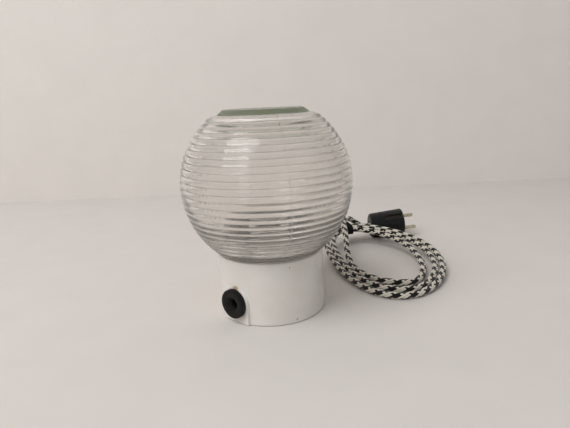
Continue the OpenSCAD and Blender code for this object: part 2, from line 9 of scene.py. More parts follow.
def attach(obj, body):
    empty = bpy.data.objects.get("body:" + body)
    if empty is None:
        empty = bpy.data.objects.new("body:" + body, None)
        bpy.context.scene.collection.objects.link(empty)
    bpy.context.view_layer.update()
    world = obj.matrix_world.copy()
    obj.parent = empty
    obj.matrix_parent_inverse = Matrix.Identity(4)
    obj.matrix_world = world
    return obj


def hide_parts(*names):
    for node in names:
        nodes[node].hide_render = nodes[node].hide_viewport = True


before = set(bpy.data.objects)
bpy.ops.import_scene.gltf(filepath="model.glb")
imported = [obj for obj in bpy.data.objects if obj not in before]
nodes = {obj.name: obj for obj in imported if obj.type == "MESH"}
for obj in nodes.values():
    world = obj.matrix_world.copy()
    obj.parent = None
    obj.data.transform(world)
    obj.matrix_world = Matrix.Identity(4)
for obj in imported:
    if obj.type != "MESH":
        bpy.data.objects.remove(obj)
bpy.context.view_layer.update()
scene = bpy.context.scene
scene.view_settings.view_transform = "Standard"


def mm(value):
    return value / 1000


def ease(share):  # smooth step from 0 to 1
    share = min(1, max(0, share))
    return share * share * (3 - 2 * share)


def linear(hexColour):  # sRGB hex to linear RGBA
    parts = [int(hexColour[i:i + 2], 16) / 255 for i in (0, 2, 4)]
    return [c / 12.92 if c <= 0.04045 else ((c + 0.055) / 1.055) ** 2.4 for c in parts] + [1]


# A string key is a setting or a socket of the node, a number is a socket
def addNode(tree, kind, settings=None, links=None):
    node = tree.nodes.new("ShaderNode" + kind)
    for key, value in (settings or {}).items():
        if isinstance(key, str) and hasattr(node, key):
            setattr(node, key, value)
        else:
            node.inputs[key].default_value = value
    for key, source in (links or {}).items():
        socket = source if isinstance(source, bpy.types.NodeSocket) else source.outputs[0]
        tree.links.new(socket, node.inputs[key])
    return node


def newMaterial(name, settings):
    material = bpy.data.materials.new(name)
    material.use_nodes = True
    shader = material.node_tree.nodes["Principled BSDF"]
    for key, value in settings.items():
        shader.inputs[key].default_value = value
    return material, material.node_tree, shader


# Camera at the photo's viewing angle

viewSetup = {
    "place": (293.65, -314.9, 196.07),  # mm
    "heading": 130.95,  # degrees from +X
    "dip": 13.85,
    "roll": -2.57,
    "focal": 29.684,
    "sensor": 36,
}


def makeCamera():
    s = viewSetup
    heading, dip, roll = (math.radians(s[key]) for key in ("heading", "dip", "roll"))
    ahead = Vector((math.cos(heading) * math.cos(dip), math.sin(heading) * math.cos(dip), -math.sin(dip)))
    level = ahead.cross(Vector((0, 0, 1))).normalized()
    upright = level.cross(ahead)
    right = math.cos(roll) * level + math.sin(roll) * upright
    up = math.cos(roll) * upright - math.sin(roll) * level
    lens = bpy.data.cameras.new("photoView")
    lens.sensor_fit = "HORIZONTAL"
    lens.sensor_width = s["sensor"]
    lens.lens = s["focal"]
    lens.clip_start = 0.01
    camera = bpy.data.objects.new("photoView", lens)
    camera.matrix_world = (
        Matrix.Translation(Vector(s["place"]) / 1000) @ Matrix((right, up, -ahead)).transposed().to_4x4()
    )
    scene.collection.objects.link(camera)
    scene.camera = camera


makeCamera()
print("camera placed")


# Helpers that make the meshes

def finishPiece(shape, name, material, body, replaced, sharpAngle=30):
    for face in shape.faces:
        face.smooth = True
    for edge in shape.edges:
        if len(edge.link_faces) == 2 and edge.calc_face_angle(0) > math.radians(sharpAngle):
            edge.smooth = False
    mesh = bpy.data.meshes.new(name)
    shape.to_mesh(mesh)
    shape.free()
    piece = bpy.data.objects.new(name, mesh)
    scene.collection.objects.link(piece)
    mesh.materials.append(material)
    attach(piece, body)
    if replaced:
        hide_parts(*replaced)
    return piece


def outline(shape, corners, closed):  # corners are (radius, height, rounding) in mm
    points = [shape.verts.new((mm(c[0]), 0, mm(c[1]))) for c in corners]
    pairs = list(zip(points, points[1:]))
    if closed:
        pairs.append((points[-1], points[0]))
    for pair in pairs:
        shape.edges.new(pair)
    for point, corner in zip(points, corners):
        if len(corner) > 2 and corner[2] > 0:
            bmesh.ops.bevel(
                shape, geom=[point], offset=mm(corner[2]), offset_type="OFFSET", segments=5,
                profile=0.5, affect="VERTICES", material=-1,
            )


def cutRows(shape, chosen, row):  # divides the chosen profile edges into rows of this length
    for edge in [e for e in shape.edges if chosen(e)]:
        cuts = math.ceil(edge.calc_length() / mm(row)) - 1
        if cuts > 0:
            bmesh.ops.subdivide_edges(shape, edges=[edge], cuts=cuts)


def turn(shape, sectors):  # spins the profile; sectors are (degrees, steps)
    strip = shape.verts[:] + shape.edges[:]
    for angle, steps in sectors:
        made = bmesh.ops.spin(
            shape, geom=strip, cent=(0, 0, 0), axis=(0, 0, 1), angle=math.radians(angle), steps=steps,
            use_merge=len(sectors) == 1,
        )
        strip = made["geom_last"]
    bmesh.ops.remove_doubles(shape, verts=shape.verts, dist=mm(0.004))
    bmesh.ops.dissolve_degenerate(shape, edges=shape.edges, dist=mm(0.0005))
    bmesh.ops.recalc_face_normals(shape, faces=shape.faces)


def smoothLine(points, step):  # even points along a smooth curve through the given ones
    fineSteps = 16
    fine = []
    ways = []
    for i in range(len(points)):
        ways.append((points[min(i + 1, len(points) - 1)] - points[max(i - 1, 0)]).normalized())
    for i in range(len(points) - 1):
        reach = (points[i + 1] - points[i]).length / 3
        a, b = points[i] + ways[i] * reach, points[i + 1] - ways[i + 1] * reach
        for k in range(fineSteps):
            u = k / fineSteps
            v = 1 - u
            fine.append(points[i] * v ** 3 + a * 3 * u * v * v + b * 3 * u * u * v + points[i + 1] * u ** 3)
    fine.append(points[-1])
    travelled = [0]
    for a, b in zip(fine, fine[1:]):
        travelled.append(travelled[-1] + (b - a).length)
    count = round(travelled[-1] / step)
    line, k = [], 0
    for i in range(count + 1):
        goal = travelled[-1] * i / count
        while k < len(fine) - 2 and travelled[k + 1] < goal:
            k += 1
        share = (goal - travelled[k]) / (travelled[k + 1] - travelled[k])
        line.append(fine[k].lerp(fine[k + 1], share))
    return line, travelled[-1]


def sweep(shape, hoops, layer, place):  # skins the hoops and caps both ends; place gives each corner's UV
    sides = len(hoops[0])
    for i in range(len(hoops) - 1):
        for k in range(sides):
            n = (k + 1) % sides
            skin = shape.faces.new((hoops[i][k], hoops[i][n], hoops[i + 1][n], hoops[i + 1][k]))
            corners = ((i, k), (i, k + 1), (i + 1, k + 1), (i + 1, k))
            for loop, (ring, corner) in zip(skin.loops, corners):
                loop[layer].uv = place(ring, corner)
    bmesh.ops.holes_fill(shape, edges=[e for e in shape.edges if e.is_boundary], sides=sides)
    bmesh.ops.recalc_face_normals(shape, faces=shape.faces)


# Cord: one braided line out of the base, three loops of coil and the end in the plug

cordSetup = {
    "exit": (0, 55, 19),  # mm
    "diameter": 7,
    "sides": 16,
    "step": 2.2,  # between rings
    "lay": 33,  # length in which a strand goes once round
    "carriers": 8,  # strands each way: two black, two cream, two black, two cream
    "black": "15120F",
    "cream": "DCD3C4",
}
coilSetup = {
    "centre": (36, 159.4),
    "heading": 49,
    "turns": 3,
    "length": 100,  # half length and half width of the first loop
    "width": 59.2,
    "bow": 16.6,  # bend of the loops' long way, and how it fades at the open end
    "fade": 1.32,
    "farIn": (0, 8.4, 23.2),  # how far each loop lies inside the first
    "nearIn": (0, 7.8, 15.4),
    "endIn": (0, 14, 31.2),
    "lane": 8.1,  # from strand to strand at the strap
    "over": 1.9,  # lanes that the last strand goes back, from when and for how many loops
    "back": 0.5,
    "backFor": 0.45,
    "left": 7.5,  # swell of the near side before the strap, and how far the last loop cuts inside it
    "short": 9.5,
    "lift": 17.5,  # rise of the strands at the strap, and of the last one over the others
    "stack": 11.6,
    "cut": 0.3,  # loops before the end where the last one starts to cut across, and for how many
    "climb": 0.2,
    "rings": 24,  # points on a loop
    "rest": 2,  # points that the last loop lacks
}
leadPoints = [
    (0, 27.5, 19), (0, 34, 19), (0, 41, 19), (0, 48, 19), (0, 55, 19), (0, 62, 19), (-3, 75, 16),
    (-11, 89, 10), (-22, 102, 5), (-35, 114, 3.6), (-49, 126, 3.6), (-62, 139, 3.6), (-73, 153, 4),
    (-80.5, 167, 6.5), (-81.5, 181, 11), (-76, 193, 15.5), (-66.5, 201.5, 19.3),
]
tailPoints = [
    (-49, 205, 32.6), (-49.8, 211.5, 32.2), (-49.2, 218, 29.8), (-47.4, 225.5, 24.8), (-44.3, 233, 19.2),
]
plugSetup = {
    "face": (-3, 276.5, 19.1),
    "heading": 44.4,
    "rise": math.degrees(math.asin(2.5 / 45)),
    "roll": 136,
    "faceRadius": 19,
    "rearRadius": 16.5,
    "length": 45,
    "frontDepth": 13,
    "backWall": 7,
    "screwHole": 1.65,
    "headHole": 2.75,
    "headDepth": 2.3,
    "hollow": 13.2,
    "cordHole": 3.75,
    "mouth": 5.2,  # radius and depth of the flare where the cord goes in
    "mouthDepth": 1.6,
    "grooveHalf": 2.75,
    "grooveFloor": 16,
    "grooveLength": 25,
    "grooveBlend": 0.9,
    "wallFrom": 15.5,  # finer rows outside these radii, on the wall and the face, for the grooves
    "faceFrom": 15.9,
    "row": 0.6,
    "steps": 240,
    "black": "060606",
    "dust": "121110",
    # lighter brown painted in the grooves: a painted highlight
    "groove": "221912",
}


def byLoop(values, t):  # the value of a loop, which changes in the second half of it
    last = len(values) - 1
    n = min(max(math.floor(t), 0), last)
    return values[n] + (values[min(n + 1, last)] - values[n]) * ease((t - n - 0.5) / 0.5)


def coilPoint(t):
    s = coilSetup
    a = math.tau * t
    near = (1 - math.cos(a)) / 2
    far = 1 - near
    side = math.sin(a)
    late = t - s["turns"]
    cut = ease((late + s["cut"]) / s["climb"])
    swell = s["left"] * far * far * (1 - cut) - s["short"] * cut
    inside = byLoop(s["farIn"], t) if side > 0 else byLoop(s["nearIn"], t - 0.5) - swell
    bow = s["bow"] * math.cos(a) ** 2 * (1 - s["fade"] * near * t / s["turns"])
    lane = s["lane"] * (t - s["over"] * ease((late + s["back"]) / s["backFor"]))
    x = (s["width"] - inside) * side - bow
    y = (s["length"] - near * byLoop(s["endIn"], t - 0.25) - far * lane) * math.cos(a)
    z = cordSetup["diameter"] / 2 + s["lift"] * (far if side > 0 else far * far) + s["stack"] * cut
    turned = Matrix.Rotation(math.radians(s["heading"]), 3, "Z") @ Vector((x, y, 0))
    return Vector((s["centre"][0] + turned.x, s["centre"][1] + turned.y, z))


def plugMatrix():
    s = plugSetup
    return (
        Matrix.Translation(Vector(s["face"]) / 1000)
        @ Matrix.Rotation(math.radians(s["heading"]), 4, "Z")
        @ Matrix.Rotation(math.radians(90 - s["rise"]), 4, "Y")
        @ Matrix.Rotation(math.radians(s["roll"]), 4, "Z")
    )


def braidedCotton():
    # Braided cotton sheath: matt yarns in a houndstooth, each strand a small crown
    s = cordSetup
    material, tree, shader = newMaterial("braided cotton", {
        "Roughness": 0.9, "Sheen Weight": 0.25, "Sheen Roughness": 0.5, "Specular IOR Level": 0.25,
    })
    place = addNode(tree, "SeparateXYZ", links={0: addNode(tree, "UVMap", {"uv_map": "alongAround"})})
    along = addNode(tree, "Math", {"operation": "DIVIDE", 1: mm(s["lay"])}, {0: place.outputs[0]})
    hands = []
    for operation in ("ADD", "SUBTRACT"):  # right-hand and left-hand strands
        wound = addNode(tree, "Math", {"operation": operation}, {0: along, 1: place.outputs[1]})
        cell = addNode(tree, "Math", {"operation": "MULTIPLY", 1: s["carriers"]}, {0: wound})
        index = addNode(tree, "Math", {"operation": "FLOOR"}, {0: cell})
        inFour = addNode(tree, "Math", {"operation": "FLOORED_MODULO", 1: 4}, {0: index})
        hands.append({
            "black": addNode(tree, "Math", {"operation": "LESS_THAN", 1: 1.5}, {0: inFour}),
            "index": index,
            "across": addNode(tree, "Math", {"operation": "FRACT"}, {0: cell}),
        })
    # two over, two under, as in a twill, which gives the houndstooth its teeth
    offset = addNode(tree, "Math", {"operation": "SUBTRACT"}, {0: hands[0]["index"], 1: hands[1]["index"]})
    shed = addNode(tree, "Math", {"operation": "FLOORED_MODULO", 1: 4}, {0: offset})
    onTop = addNode(tree, "Math", {"operation": "LESS_THAN", 1: 1.5}, {0: shed})
    crowns = []
    for hand in hands:
        half = addNode(tree, "Math", {"operation": "MULTIPLY", 1: math.pi}, {0: hand["across"]})
        crowns.append(addNode(tree, "Math", {"operation": "SINE"}, {0: half}))
    crown = addNode(tree, "Math", {"operation": "MULTIPLY"}, {0: crowns[0], 1: crowns[1]})
    black = addNode(
        tree, "Mix", {"data_type": "FLOAT"}, {0: onTop, 2: hands[0]["black"], 3: hands[1]["black"]},
    )
    spot = addNode(tree, "TexCoord").outputs["Object"]
    fuzz = addNode(tree, "TexNoise", {"Scale": 1 / mm(0.9), "Detail": 3}, {"Vector": spot})
    yarn = addNode(
        tree, "Mix", {"data_type": "RGBA", 6: linear(s["cream"]), 7: linear(s["black"])}, {0: black}
    )
    # painted shade: each yarn is darker towards its edges, where it dips under its neighbours
    dipShade = addNode(tree, "MapRange", {1: 0, 2: 0.4, 3: 0.7, 4: 1}, {0: crown})
    varied = addNode(tree, "MapRange", {1: 0.3, 2: 0.75, 3: 0.8, 4: 1.12}, {0: fuzz})
    tone = addNode(tree, "Math", {"operation": "MULTIPLY"}, {0: dipShade, 1: varied})
    shaded = addNode(tree, "VectorMath", {"operation": "SCALE"}, {0: yarn.outputs[2], 3: tone})
    tree.links.new(shaded.outputs[0], shader.inputs["Base Color"])
    height = addNode(tree, "Math", {"operation": "MULTIPLY_ADD", 1: 0.25}, {0: fuzz, 2: crown})
    bump = addNode(tree, "Bump", {"Strength": 0.8, "Distance": mm(0.5)}, {"Height": height})
    tree.links.new(bump.outputs[0], shader.inputs["Normal"])
    return material


def cordPoints():
    s = coilSetup
    coil = [coilPoint(i / s["rings"]) for i in range(s["turns"] * s["rings"] - s["rest"] + 1)]
    straight = cordSetup["diameter"]  # the coil goes on straight for this long at both ends
    before = coil[0] - straight * (coil[1] - coil[0]).normalized()
    after = coil[-1] + straight * (coil[-1] - coil[-2]).normalized()
    face, way = Vector(plugSetup["face"]), plugMatrix().to_3x3() @ Vector((0, 0, 1))
    deep = plugSetup["length"]
    inPlug = [face - back * way for back in (deep + straight, deep - plugSetup["backWall"])]
    lead, tail = ([Vector(p) for p in points] for points in (leadPoints, tailPoints))
    return lead + [before] + coil + [after] + tail + inPlug


def makeCord():
    s = cordSetup
    line, length = smoothLine([p / 1000 for p in cordPoints()], mm(s["step"]))
    shape = bmesh.new()
    layer = shape.loops.layers.uv.new("alongAround")
    ahead = (line[1] - line[0]).normalized()
    side = ahead.cross(Vector((0, 0, 1))).normalized()
    hoops = []
    for i, spot in enumerate(line):
        way = (line[min(i + 1, len(line) - 1)] - line[max(i - 1, 0)]).normalized()
        side = (ahead.rotation_difference(way) @ side).normalized()
        ahead = way
        over = way.cross(side)
        hoop = []
        for k in range(s["sides"]):
            a = math.tau * k / s["sides"]
            out = math.cos(a) * side + math.sin(a) * over
            hoop.append(shape.verts.new(spot + mm(s["diameter"] / 2) * out))
        hoops.append(hoop)
    reach = length / (len(hoops) - 1)
    sweep(shape, hoops, layer, lambda ring, corner: (reach * ring, corner / s["sides"]))
    cord = finishPiece(
        shape, "cord", braidedCotton(), "base",
        ("cord_in_base", "cord_lead", "cord_coil", "cord_tail"), 60,
    )
    return cord, line, length


cord, cordLine, cordLength = makeCord()
print("cord laid,", round(cordLength, 3), "m")


# Plug: two black mouldings with a groove down each side

def phenolicPlastic():
    # Compression-moulded phenolic: deep black with a dull shine, dusty in patches and finely scuffed, with a
    # painted highlight in the grooves
    s = plugSetup
    material, tree, shader = newMaterial("black phenolic plastic", {"Specular IOR Level": 0.35})
    spot = addNode(tree, "TexCoord").outputs["Object"]
    dust = addNode(tree, "TexNoise", {"Scale": 1 / mm(7), "Detail": 6, "Roughness": 0.65}, {"Vector": spot})
    amount = addNode(tree, "MapRange", {1: 0.52, 2: 0.8, 3: 0, 4: 0.55}, {0: dust})
    groove = addNode(tree, "Attribute", {"attribute_name": "groove"})
    tint = addNode(
        tree, "Mix", {"data_type": "RGBA", 6: linear(s["black"]), 7: linear(s["dust"])}, {0: amount}
    )
    # painted highlight: the grooves are tinted a lighter brown for the light they catch
    varied = addNode(
        tree, "Mix", {"data_type": "RGBA", 7: linear(s["groove"])},
        {0: groove.outputs["Fac"], 6: tint.outputs[2]},
    )
    tree.links.new(varied.outputs[2], shader.inputs["Base Color"])
    rough = addNode(tree, "MapRange", {1: 0.3, 2: 0.8, 3: 0.3, 4: 0.6}, {0: dust})
    tree.links.new(rough.outputs[0], shader.inputs["Roughness"])
    scuff = addNode(tree, "TexNoise", {"Scale": 1 / mm(1.2), "Detail": 4}, {"Vector": spot})
    bump = addNode(tree, "Bump", {"Strength": 0.12, "Distance": mm(0.2)}, {"Height": scuff})
    tree.links.new(bump.outputs[0], shader.inputs["Normal"])
    return material


def cutGrooves(shape, depthLayer):
    s = plugSetup
    for vert in shape.verts:
        x, y, z = (1000 * c for c in vert.co)
        inside = min(s["grooveHalf"] - abs(x), s["grooveLength"] + z)
        depth = ease(inside / s["grooveBlend"] + 0.5)
        floor = s["grooveFloor"]
        if depth > 0 and abs(y) > floor and math.hypot(x, y) > floor - 0.5:
            vert.co.y = mm(math.copysign(abs(y) + (floor - abs(y)) * depth, y))
            vert[depthLayer] = depth
    bmesh.ops.recalc_face_normals(shape, faces=shape.faces)


def onFace(edge):  # whether a profile edge is on the outer part of the plug's face
    reach = max(v.co.x for v in edge.verts)
    return reach > mm(plugSetup["faceFrom"]) and max(v.co.z for v in edge.verts) > mm(-0.1)


def makePlug(material):
    s = plugSetup
    face, rear, deep, front = s["faceRadius"], s["rearRadius"], s["length"], s["frontDepth"]
    joint = face - (face - rear) * front / deep
    back = s["backWall"] - deep
    screw, head, seat = s["screwHole"], s["headHole"], -s["headDepth"]
    hole, hollow, flare = s["cordHole"], s["hollow"], s["mouthDepth"] - deep
    halves = {
        "plugFront": ("plug_front", [
            (head, 0, 0.25), (face, 0, 1), (joint, -front, 0.35), (screw, -front), (screw, seat),
            (head, seat),
        ]),
        "plugCap": ("plug_cap", [
            (joint, -front, 0.35), (rear, -deep, 3), (s["mouth"], -deep, 0.9), (hole, flare), (hole, back),
            (hollow, back), (hollow, -front),
        ]),
    }
    pieces = []
    for name, (node, corners) in halves.items():
        shape = bmesh.new()
        depthLayer = shape.verts.layers.float.new("groove")
        outline(shape, corners, True)
        cutRows(shape, lambda e: min(v.co.x for v in e.verts) > mm(s["wallFrom"]), s["row"])
        cutRows(shape, onFace, s["row"])
        turn(shape, [(360, s["steps"])])
        cutGrooves(shape, depthLayer)
        bmesh.ops.transform(shape, matrix=plugMatrix(), verts=shape.verts)
        pieces.append(finishPiece(shape, name, material, "base", (node,)))
    return pieces


plugPieces = makePlug(phenolicPlastic())
print("plug made")


# Strap round the raised strands of the coil

strapSetup = {
    "at": -5,  # from the start of the coil
    "width": 12,
    "inner": 4.02,  # from a strand's middle to the strap
    "thickness": 0.75,
    "layer": 0.78,  # from the first layer to the second
    "around": (225, 900, 3),  # first, last and step of the way round in degrees, where 90 is up
    "climb": (540, 45),  # where the second layer starts, and the degrees in which it rises
    "end": 11,  # length of the free end, its steps and how far it leans in
    "endSteps": 8,
    "endLean": 0.7,
    "strips": 8,
    "selvedge": 0.6,  # thickness at both edges, as a share
    "thread": 0.9,  # coarser than such webbing has, so that it shows
    "black": "0B0A0A",
    "edge": "171513",
}


def wovenNylon():
    # Woven nylon webbing: near-black, fine ribs across, a little lint
    s = strapSetup
    material, tree, shader = newMaterial("woven nylon", {"Roughness": 0.8, "Specular IOR Level": 0.2})
    place = addNode(tree, "UVMap", {"uv_map": "alongAcross"})
    weave = addNode(
        tree, "TexWave", {"Scale": 1 / mm(s["thread"]) / math.tau * 2, "Distortion": 0.6}, {"Vector": place},
    )
    lint = addNode(tree, "TexNoise", {"Scale": 1 / mm(3), "Detail": 5}, {"Vector": place})
    mixed = addNode(tree, "Math", {"operation": "MULTIPLY"}, {0: weave.outputs["Fac"], 1: lint})
    tint = addNode(
        tree, "Mix", {"data_type": "RGBA", 6: linear(s["black"]), 7: linear(s["edge"])}, {0: mixed},
    )
    tree.links.new(tint.outputs[2], shader.inputs["Base Color"])
    bump = addNode(tree, "Bump", {"Strength": 0.5, "Distance": mm(0.25)}, {"Height": weave.outputs["Fac"]})
    tree.links.new(bump.outputs[0], shader.inputs["Normal"])
    return material


def strandsAt(level, along):  # where the strands of the coil cross a plane square to the bundle
    route = cordPoints()
    first = len(leadPoints) + 1
    found = []
    for t in range(coilSetup["turns"]):
        i = first + t * coilSetup["rings"]
        for a, b in zip(route[i - 3:i + 3], route[i - 2:i + 4]):
            before, after = ((p - route[first]).dot(level) for p in (a, b))
            if before <= along < after:
                found.append(a.lerp(b, (along - before) / (after - before)))
    return found


def makeStrap():
    s = strapSetup
    heading = math.radians(coilSetup["heading"])
    level = Vector((math.cos(heading), math.sin(heading), 0))
    across = level.cross(Vector((0, 0, 1)))
    start = coilPoint(0)
    strands = []
    for edge in (-1, 0, 1):
        for p in strandsAt(level, s["at"] + edge * s["width"] / 2):
            strands.append(((p - start).dot(across), p.z))
    middle = s["inner"] + s["thickness"] / 2
    # twice round from low on the far side, then the free end straight down
    path = []
    first, last, step = s["around"]
    climbFrom, climbFor = s["climb"]
    for degrees in range(first, last + 1, step):
        n = (math.cos(math.radians(degrees)), math.sin(math.radians(degrees)))
        p = max(strands, key=lambda q: q[0] * n[0] + q[1] * n[1])
        r = middle + s["layer"] * ease((degrees - climbFrom) / climbFor)
        path.append((p[0] + r * n[0], p[1] + r * n[1], n))
    x, z, n = path[-1]
    low = max(p[1] for p in strands) - s["end"]
    for k in range(1, s["endSteps"] + 1):
        u = k / s["endSteps"]
        path.append((x - s["endLean"] * u * u, z + (low - z) * u, n))
    travelled = [0]
    for a, b in zip(path, path[1:]):
        travelled.append(travelled[-1] + math.hypot(b[0] - a[0], b[1] - a[1]))
    shape = bmesh.new()
    layer = shape.loops.layers.uv.new("alongAcross")
    origin = Vector((start.x, start.y, 0)) + s["at"] * level
    shares = [k / s["strips"] - 0.5 for k in range(s["strips"] + 1)]
    section = [(share, 1) for share in shares] + [(share, -1) for share in reversed(shares)]
    hoops = []
    for x, z, n in path:
        hoop = []
        for share, side in section:
            thin = s["selvedge"] if abs(share) == 0.5 else 1
            off = side * thin * s["thickness"] / 2
            spot = origin + level * share * s["width"] + across * (x + off * n[0])
            hoop.append(shape.verts.new((spot + Vector((0, 0, z + off * n[1]))) / 1000))
        hoops.append(hoop)
    sweep(
        shape, hoops, layer,
        lambda ring, corner: (mm(travelled[ring]), mm(section[corner % len(section)][0] * s["width"])),
    )
    return finishPiece(shape, "strap", wovenNylon(), "base", ("cord_tie",), 50), travelled[-1]


strap, strapLength = makeStrap()
print("strap made,", round(strapLength), "mm long, and the cord declared")


# Globe: pressed glass with stacked ribs, a thick top disc and a screwed neck

globeSetup = {
    "radius": 79,
    "centre": 120.66,
    "glass": 4.5,
    "ribPitch": 4.2,  # degrees of latitude
    "ribDepth": 0.8,
    "ribs": (-11, 12),
    "valleyRadius": 1.05,
    "crestSteps": 6,
    "valleySteps": 2,
    "steps": 200,
    "neckRadius": 42.2,
    "neckInside": 38,
    "neckFoot": 42.5,
    "neckTop": 59,
    "neckRow": 0.5,
    "shoulder": 59.44,  # dips a little into the seal ring, so that no gap shows
    "lipRadius": 50,
    "lipTop": 61.9,
    "topOutside": [(45.6, 183.4, 0.3), (42.1, 183.5, 0.5), (36, 188.2, 0.7), (0, 188.2)],
    "topInside": [(0, 183.4), (12, 183.25), (24, 182.85), (34, 182.2), (39.5, 181.6)],
    "lipInside": [(50.2, 65.3), (47.5, 64.1), (38, 64, 2)],
    "insideLatitudes": (53, -46, -2),
    "threadPitch": 6,
    "threadHeight": 0.42,
    "threadFrom": 43.5,
    "threadTo": 58.5,
    "threadFade": 2,
    "seam": 56,  # degrees from -Y towards +X
    "seamHeight": 0.45,
    "seamHalf": 0.7,
    "seamZone": (62, 183),  # heights that the seam runs between
    # painted shade along the seam: its strength and half width
    "seamShade": 0.25,
    "seamShadeHalf": 0.55,
    "unevenZone": (64.5, 178),  # heights where the inside is a little uneven
    "uneven": 0.35,
    "unevenScale": 45,
    "clear": "FDFAF8",
    "film": 0.06,  # share of the light that the dusty film on the glass scatters
    "disc": "98AC80",
    "discHeight": 183.6,
    "discTop": 187.6,
    "topTint": 0.25,  # share of the disc's green on its flat top
    "roughDisc": 0.38,
    "roughNeck": 0.2,
    "roughClear": 0.05,
    "handled": (72, 96),  # heights between which the glass clears
    # colour and width of the painted shade lines in the valleys between the ribs
    "dust": "6F6C62",
    "shadeLineWidth": 0.09,  # of a rib
    "green": "A6D169",
    "density": 2.6,
}


def valleyShadeLines(tree, spot):  # painted shade: thin darker lines in the valleys between the ribs and along the seam, on the outside only
    s = globeSetup
    ray = addNode(tree, "VectorMath", {"operation": "SUBTRACT", 1: (0, 0, mm(s["centre"]))}, {0: spot})
    length = addNode(tree, "VectorMath", {"operation": "LENGTH"}, {0: ray}).outputs["Value"]
    rise = addNode(tree, "SeparateXYZ", links={0: ray}).outputs[2]
    latitude = addNode(tree, "Math", {"operation": "ARCSINE"}, {
        0: addNode(tree, "Math", {"operation": "DIVIDE"}, {0: rise, 1: length}),
    })
    cell = addNode(tree, "Math", {"operation": "DIVIDE", 1: math.radians(s["ribPitch"])}, {0: latitude})
    fromCrest = addNode(tree, "Math", {"operation": "PINGPONG", 1: 0.5}, {0: cell})
    line = addNode(tree, "MapRange", {1: 0.5 - s["shadeLineWidth"], 2: 0.5, 3: 0, 4: 1}, {0: fromCrest})
    outside = addNode(
        tree, "MapRange", {1: mm(s["radius"] - 3), 2: mm(s["radius"] - 2.5), 3: 0, 4: 1}, {0: length},
    )
    uneven = addNode(tree, "TexNoise", {"Scale": 1 / mm(24), "Detail": 3}, {"Vector": spot})
    amount = addNode(tree, "MapRange", {1: 0.3, 2: 0.7, 3: 0.35, 4: 0.9}, {0: uneven})
    turned = math.radians(s["seam"])
    seamSide = (math.cos(turned), math.sin(turned), 0)
    aside = addNode(tree, "VectorMath", {"operation": "DOT_PRODUCT", 1: seamSide}, {0: spot}).outputs["Value"]
    fromSeam = addNode(tree, "Math", {"operation": "ABSOLUTE"}, {0: aside})
    seam = addNode(tree, "MapRange", {1: 0, 2: mm(s["seamShadeHalf"]), 3: s["seamShade"], 4: 0}, {0: fromSeam})
    lines = addNode(tree, "Math", {"operation": "MAXIMUM"}, {0: line, 1: seam})
    onRibs = addNode(tree, "Math", {"operation": "MULTIPLY"}, {0: lines, 1: outside})
    return addNode(tree, "Math", {"operation": "MULTIPLY"}, {0: onRibs, 1: amount}).outputs[0]


def pressedGlass():
    # Pressed soda-lime glass: clear under a film of dust, green where light goes far through it,
    # dull on the ground disc and by the neck
    s = globeSetup
    material, tree, shader = newMaterial("pressed soda-lime glass", {
        "IOR": 1.5, "Transmission Weight": 1 - s["film"],
    })
    spot = addNode(tree, "TexCoord").outputs["Object"]
    height = addNode(tree, "SeparateXYZ", links={0: spot}).outputs[2]
    disc = addNode(
        tree, "MapRange", {1: mm(s["discHeight"]), 2: mm(s["discHeight"] + 0.4), 3: 0, 4: 1}, {0: height},
    )
    top = addNode(
        tree, "MapRange", {1: mm(s["discTop"]), 2: mm(s["discTop"] + 0.3), 3: 1, 4: s["topTint"]},
        {0: height},
    )
    edge = addNode(tree, "Math", {"operation": "MULTIPLY"}, {0: disc, 1: top})
    tint = addNode(
        tree, "Mix", {"data_type": "RGBA", 6: linear(s["clear"]), 7: linear(s["disc"])}, {0: edge},
    )
    # painted shade: the valleys between the ribs and the seam are tinted darker
    withValleyShade = addNode(
        tree, "Mix", {"data_type": "RGBA", 7: linear(s["dust"])},
        {0: valleyShadeLines(tree, spot), 6: tint.outputs[2]},
    )
    tree.links.new(withValleyShade.outputs[2], shader.inputs["Base Color"])
    low, high = (mm(z) for z in s["handled"])
    handled = addNode(tree, "MapRange", {1: low, 2: high, 3: s["roughNeck"], 4: s["roughClear"]}, {0: height})
    dull = addNode(tree, "Mix", {"data_type": "FLOAT", 3: s["roughDisc"]}, {0: disc, 2: handled})
    tree.links.new(dull.outputs[0], shader.inputs["Roughness"])
    chill = addNode(tree, "TexNoise", {"Scale": 1 / mm(9), "Detail": 2}, {"Vector": spot})
    bump = addNode(tree, "Bump", {"Strength": 0.06, "Distance": mm(0.6)}, {"Height": chill})
    tree.links.new(bump.outputs[0], shader.inputs["Normal"])
    inside = addNode(tree, "VolumeAbsorption", {"Color": linear(s["green"]), "Density": s["density"]})
    tree.links.new(inside.outputs[0], tree.nodes["Material Output"].inputs["Volume"])
    return material


def ribProfile():  # one rib from its lower valley, as (distance along the globe, height over the crest)
    s = globeSetup
    half = math.radians(s["ribPitch"] / 2)
    valley = s["radius"] - s["ribDepth"]
    reach, sag = valley * math.sin(half), s["radius"] - valley * math.cos(half)
    steep = 2 * math.atan(sag / reach)  # slope where the crest's arc meets the valley's
    small = s["valleyRadius"]
    large = reach / math.sin(steep) - small
    rib = []
    for k in range(s["valleySteps"]):
        a = steep * k / s["valleySteps"]
        rib.append((small * math.sin(a) - reach, small * (1 - math.cos(a)) - sag))
    for k in range(s["crestSteps"] + 1):
        a = steep * (2 * k / s["crestSteps"] - 1)
        rib.append((large * math.sin(a), large * (math.cos(a) - 1)))
    for k in reversed(range(1, s["valleySteps"])):
        a = steep * k / s["valleySteps"]
        rib.append((reach - small * math.sin(a), small * (1 - math.cos(a)) - sag))
    return rib


